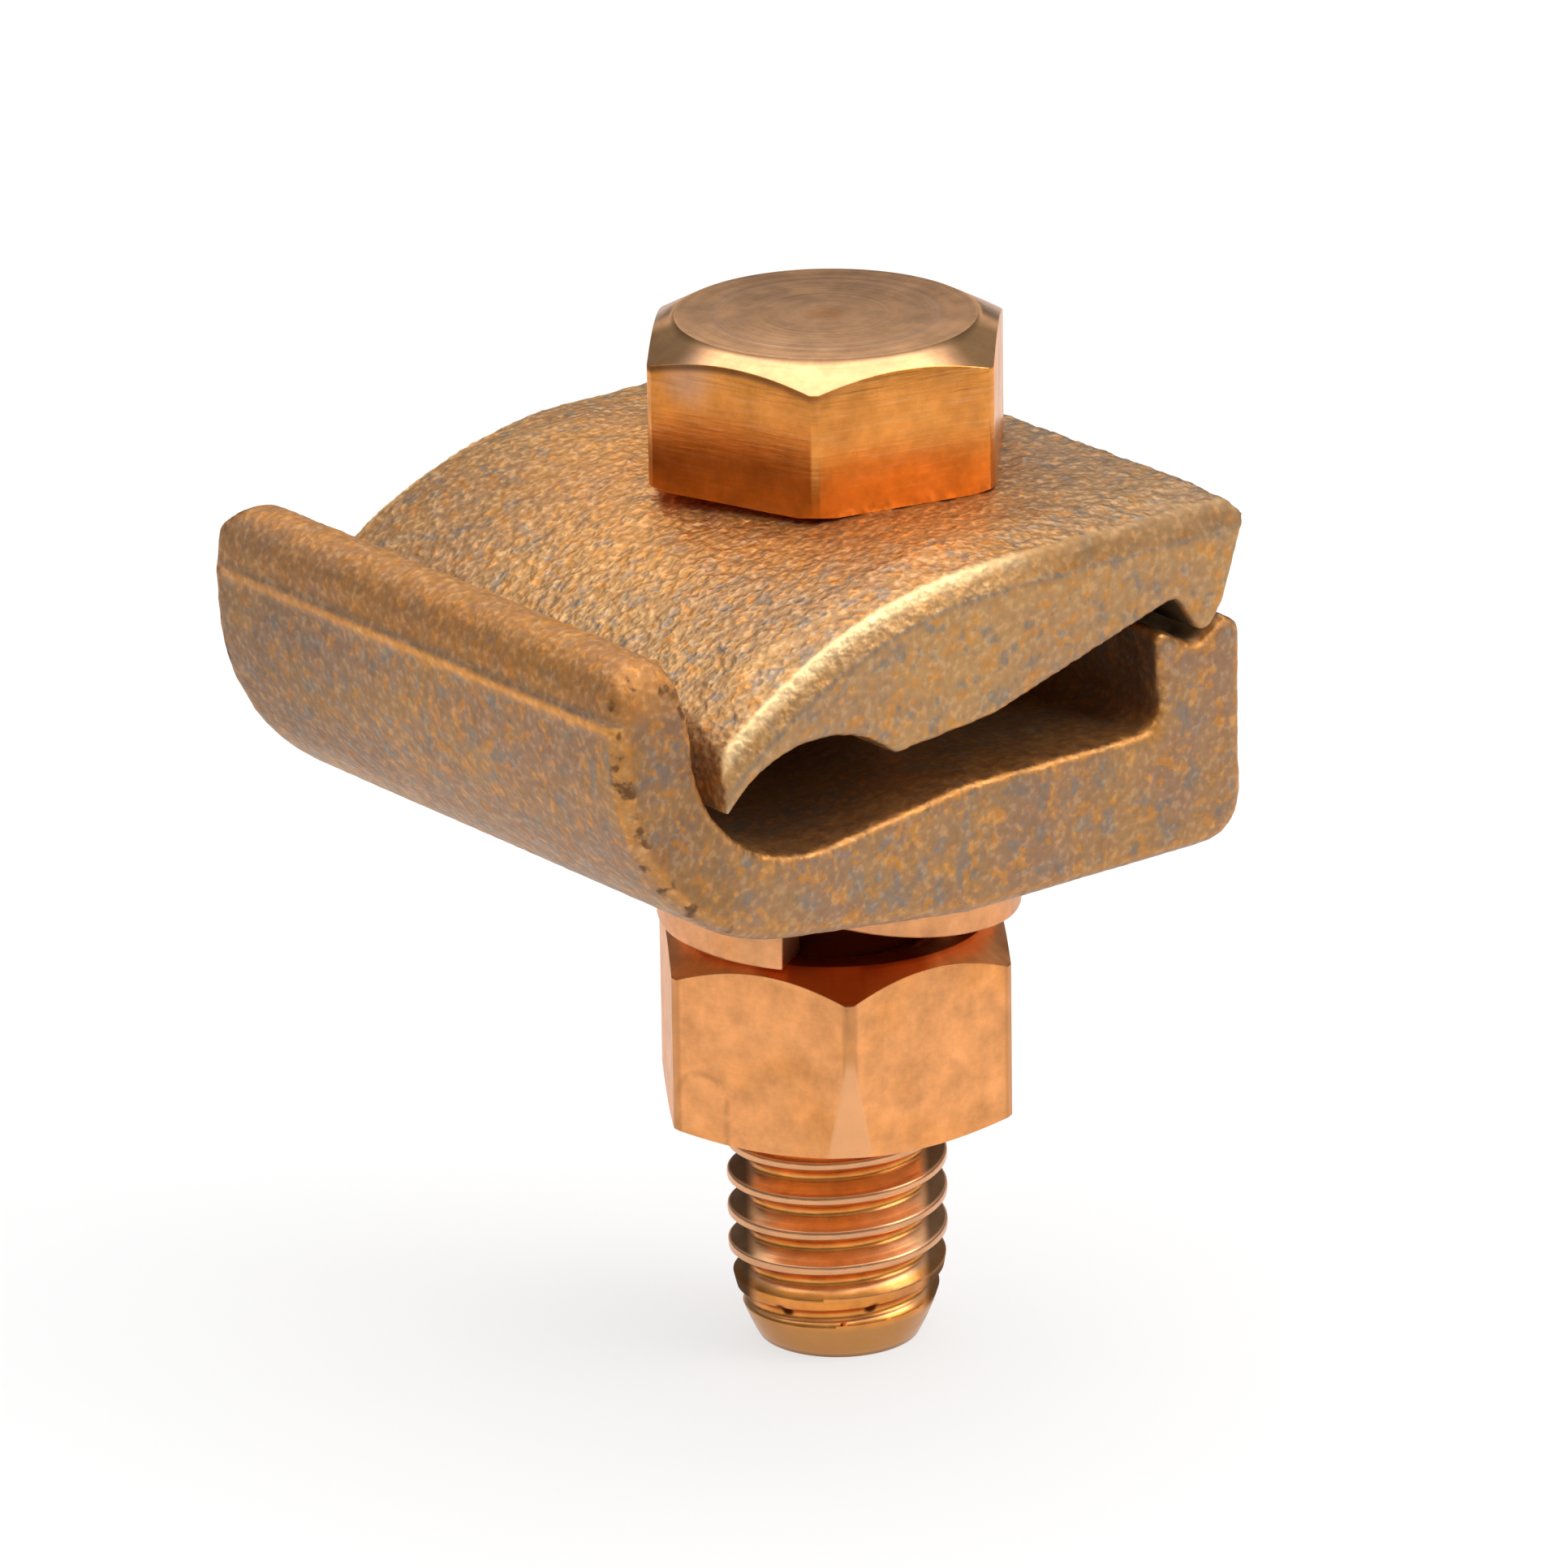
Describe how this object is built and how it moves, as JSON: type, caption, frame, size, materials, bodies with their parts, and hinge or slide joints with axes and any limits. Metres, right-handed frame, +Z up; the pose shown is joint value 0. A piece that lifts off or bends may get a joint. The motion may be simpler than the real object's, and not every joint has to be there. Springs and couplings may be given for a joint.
{
  "type": "bolted ground connector",
  "caption": "Cast bronze ground connector: a crowned cap and a hooked base clamp a conductor between facing grooves, drawn together by a hex bolt with a split lock washer and nut.",
  "frame": {"origin": "on the conductor groove's axis at mid length, jaws closed", "axes": "+Z up along the bolt towards its head, +Y along the conductor, +X from the hook across to the tooth"},
  "size_m": [0.0328, 0.029, 0.0454],
  "materials": {
    "cap_bronze": "sand-cast, tan and grey-brown",
    "base_bronze": "sand-cast, grey-brown",
    "bolt_bronze": "bright copper-orange silicon bronze",
    "washer_bronze": "satin salmon bronze",
    "nut_bronze": "satin salmon bronze"
  },
  "bodies": {
    "base": {"lower_clamp": "base_bronze", "lock_washer": "washer_bronze"},
    "cap": {"upper_clamp": "cap_bronze"},
    "bolt": {"hex_bolt": "bolt_bronze"},
    "nut": {"hex_nut": "nut_bronze"}
  },
  "joints": [
    {"name": "bolt_lift", "type": "slide", "parent": "base", "child": "bolt", "axis": [0, 0, 1], "range_m": [0, 0.01032]},
    {"name": "jaw_open", "type": "slide", "parent": "base", "child": "cap", "axis": [0, 0, 1], "range_m": [0, 0.01032]},
    {"name": "nut_turn", "type": "hinge", "parent": "base", "child": "nut", "pos_m": [0.012, 0, -0.01613], "axis": [0, 0, -1], "range_deg": [0, 2340]}
  ],
  "couplings": [
    {"joint": "jaw_open", "follows": "bolt_lift", "ratio": 1},
    {"joint": "nut_turn", "follows": "bolt_lift", "rad_per_m": 3957.9}
  ]
}
